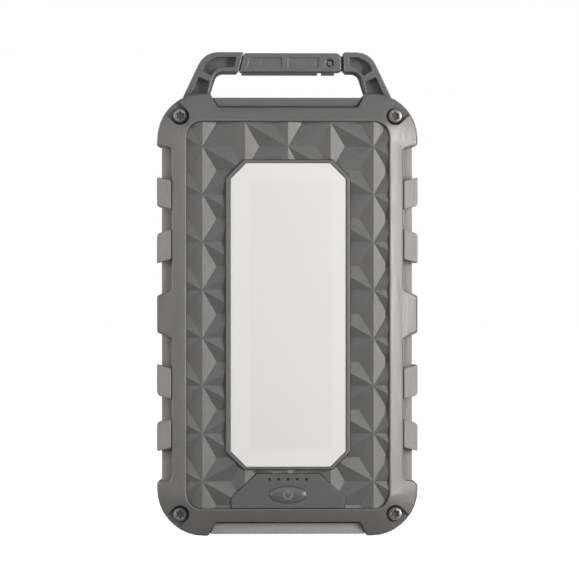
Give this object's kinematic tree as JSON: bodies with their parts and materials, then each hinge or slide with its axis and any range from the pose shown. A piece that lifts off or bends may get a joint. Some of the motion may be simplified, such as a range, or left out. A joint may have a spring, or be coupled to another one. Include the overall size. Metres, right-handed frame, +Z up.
{
  "type": "rugged solar power bank",
  "caption": "Rugged slab power bank with lamp, faceted cover, bumper frame, side grips, power button, port cover, solar back and a gated carry handle.",
  "frame": {"origin": "under the middle of the body, on the plane that the corner bumpers stand on", "axes": "+Z up along the body to the handle, -Y towards the lamp side, +X to the right seen from the lamp side"},
  "size_m": [0.086, 0.0262, 0.1597],
  "materials": {
    "dark_plastic": "fine-textured dark grey",
    "panel_plastic": "fine-textured dark grey facets",
    "grip_plastic": "light grey, soft sheen",
    "pad_plastic": "smooth dark grey",
    "button_plastic": "smooth dark grey",
    "cover_rubber": "light grey rubber",
    "seal_rubber": "black rubber",
    "screw_steel": "bright steel",
    "pin_steel": "bright steel",
    "spring_steel": "spring wire",
    "port_steel": "plated steel",
    "insert_brass": "brass",
    "lamp_rim": "smooth dark grey",
    "lamp_diffuser": "milky white",
    "reflector_white": "white",
    "board_white": "white circuit board",
    "board_green": "green circuit board",
    "emitter_yellow": "phosphor yellow",
    "charge_light": "small light emitter",
    "clear_plastic": "clear",
    "clear_sheet": "clear laminate",
    "silicon": "dark blue cells under laminate",
    "ferrite": "dark ferrite",
    "chip_black": "black moulding",
    "can_aluminium": "aluminium can",
    "cell_foil": "laminated foil",
    "pad_foam": "black foam",
    "lead_red": "red insulation",
    "lead_black": "black insulation"
  },
  "bodies": {
    "body": {"battery_cell_left": "cell_foil", "battery_cell_right": "cell_foil", "battery_lead_black": "lead_black", "battery_lead_red": "lead_red", "battery_led_1": "charge_light", "battery_led_2": "charge_light", "battery_led_3": "charge_light", "battery_led_4": "charge_light", "battery_led_5": "charge_light", "battery_pad": "pad_foam", "capacitor_1": "can_aluminium", "capacitor_2": "can_aluminium", "control_pad": "pad_plastic", "controller_chip": "chip_black", "front_frame": "dark_plastic", "front_panel": "panel_plastic", "front_seal": "seal_rubber", "gate_spring": "spring_steel", "inductor": "ferrite", "light_bezel": "lamp_rim", "light_board": "board_white", "light_diffuser": "lamp_diffuser", "light_emitter_1": "emitter_yellow", "light_emitter_2": "emitter_yellow", "light_emitter_3": "emitter_yellow", "light_emitter_4": "emitter_yellow", "light_emitter_5": "emitter_yellow", "light_emitter_6": "emitter_yellow", "light_guide": "clear_plastic", "light_reflector": "reflector_white", "main_board": "board_green", "mid_frame": "dark_plastic", "rear_cover": "dark_plastic", "rear_frame": "dark_plastic", "rear_seal": "seal_rubber", "screw_1": "screw_steel", "screw_2": "screw_steel", "screw_3": "screw_steel", "screw_4": "screw_steel", "side_grip_left": "grip_plastic", "side_grip_right": "grip_plastic", "solar_board": "board_green", "solar_cells": "silicon", "solar_lead": "lead_red", "solar_window": "clear_sheet", "tactile_switch": "chip_black", "threaded_insert_1": "insert_brass", "threaded_insert_2": "insert_brass", "threaded_insert_3": "insert_brass", "threaded_insert_4": "insert_brass", "usb_a_port_left": "port_steel", "usb_a_port_right": "port_steel", "usb_c_port": "port_steel"},
    "gate": {"handle_gate": "dark_plastic", "gate_pin": "pin_steel"},
    "button": {"power_button": "button_plastic"},
    "cover": {"port_cover": "cover_rubber"}
  },
  "joints": [
    {"name": "gate_hinge", "type": "hinge", "parent": "body", "child": "gate", "pos_m": [0.0141, 0, 0.1561], "axis": [0, -1, 0], "range_deg": [0, 14], "stiffness_Nm_per_rad": 0.05, "springref_deg": -17.19},
    {"name": "power_button_press", "type": "slide", "parent": "body", "child": "button", "axis": [0, 1, 0], "range_m": [0, 0.0006], "stiffness_N_per_m": 1500, "springref_m": -0.0003},
    {"name": "port_cover_hinge", "type": "hinge", "parent": "body", "child": "cover", "pos_m": [0, 0.0046, 0.0024], "axis": [1, 0, 0], "range_deg": [0, 110]}
  ]
}
